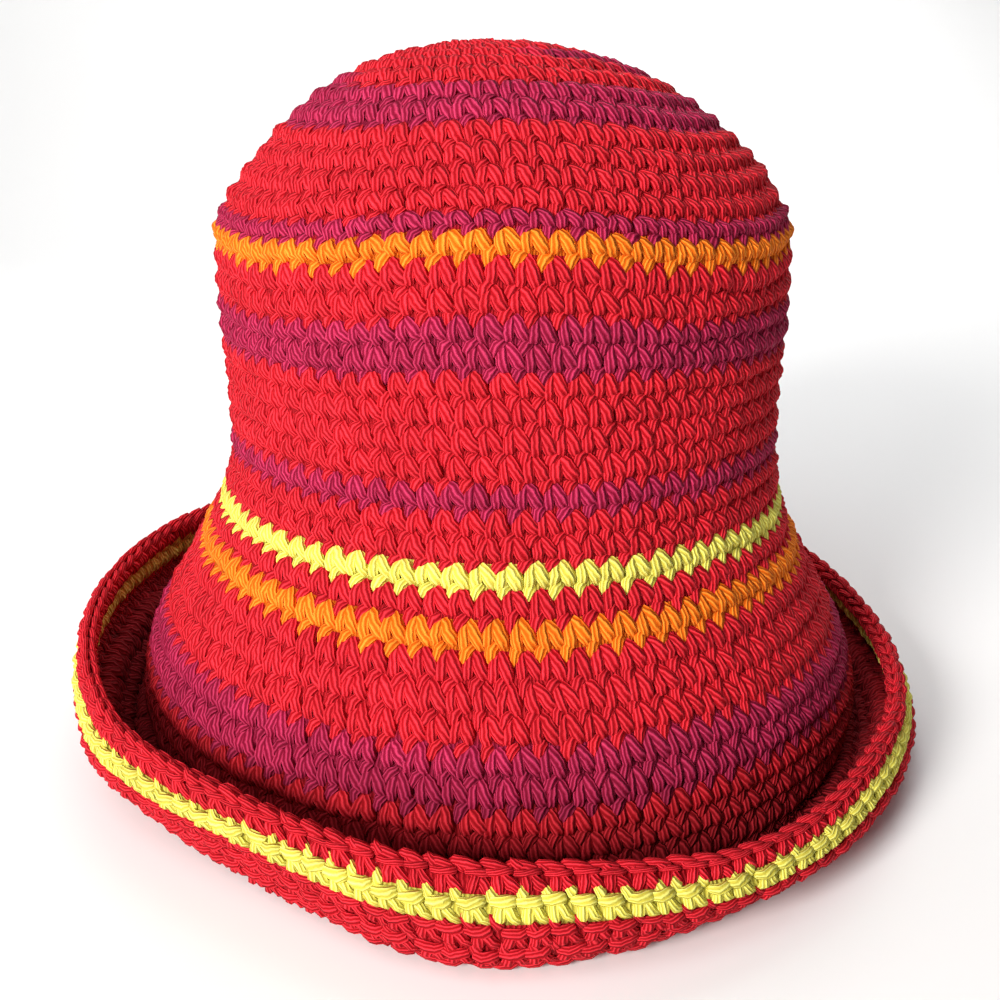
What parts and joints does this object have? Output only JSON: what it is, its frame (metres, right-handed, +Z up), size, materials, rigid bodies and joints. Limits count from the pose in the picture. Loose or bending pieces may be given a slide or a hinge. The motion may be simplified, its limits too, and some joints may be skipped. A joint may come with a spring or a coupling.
{
  "type": "crochet hat",
  "caption": "Crochet hat with a round crown, straight sides and a thick brim that widens and rolls up at its edge, in red, mauve, orange and yellow rounds.",
  "frame": {"origin": "middle of the hat's box, on the surface it stands on", "axes": "+Z up through the crown, -Y towards the front of the hat, X across it"},
  "size_m": [0.2854, 0.305, 0.2211],
  "materials": {
    "crown": "matte crochet cotton",
    "upper_orange_round": "matte crochet cotton",
    "side": "matte crochet cotton",
    "yellow_round": "matte crochet cotton",
    "red_round": "matte crochet cotton",
    "lower_orange_round": "matte crochet cotton",
    "lower_side": "matte crochet cotton",
    "brim": "matte crochet cotton",
    "turned_up_brim": "matte crochet cotton",
    "rim_yellow_round": "matte crochet cotton",
    "rim_edge": "matte crochet cotton"
  },
  "bodies": {
    "root": {"crown": "crown", "upper_orange_round": "upper_orange_round", "side": "side", "yellow_round": "yellow_round", "red_round": "red_round", "lower_orange_round": "lower_orange_round", "lower_side": "lower_side", "brim": "brim", "turned_up_brim": "turned_up_brim", "rim_yellow_round": "rim_yellow_round", "rim_edge": "rim_edge"}
  },
  "joints": []
}
